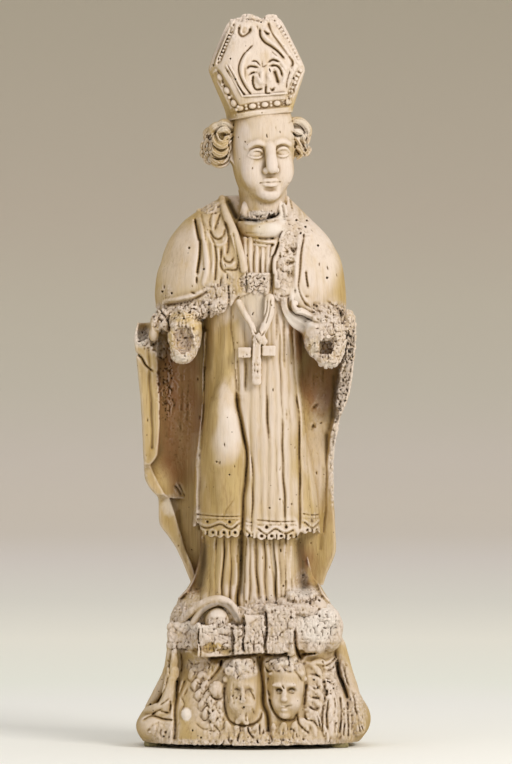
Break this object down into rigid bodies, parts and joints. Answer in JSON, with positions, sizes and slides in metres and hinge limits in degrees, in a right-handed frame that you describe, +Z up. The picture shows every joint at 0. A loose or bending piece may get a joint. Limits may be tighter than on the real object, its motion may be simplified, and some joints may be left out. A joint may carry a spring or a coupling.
{
  "type": "carved wooden bishop figure",
  "caption": "Old carved wooden figure of a bishop in mitre and cope, hands lost, standing on a cloud base with cherub heads.",
  "frame": {"origin": "on the floor under the middle of the base", "axes": "+Z up along the figure, the figure faces -Y, +X to the viewer's right"},
  "size_m": [0.2784, 0.1846, 0.86],
  "materials": {
    "wood": "bare old carved softwood, bleached on the raised parts and brown in the hollows, worm-eaten",
    "pads": "small dark turned wooden pads"
  },
  "bodies": {
    "root": {"bishop_figure": "wood", "foot_pad_front_left": "pads", "foot_pad_front_right": "pads", "foot_pad_back_left": "pads", "foot_pad_back_right": "pads"}
  },
  "joints": []
}
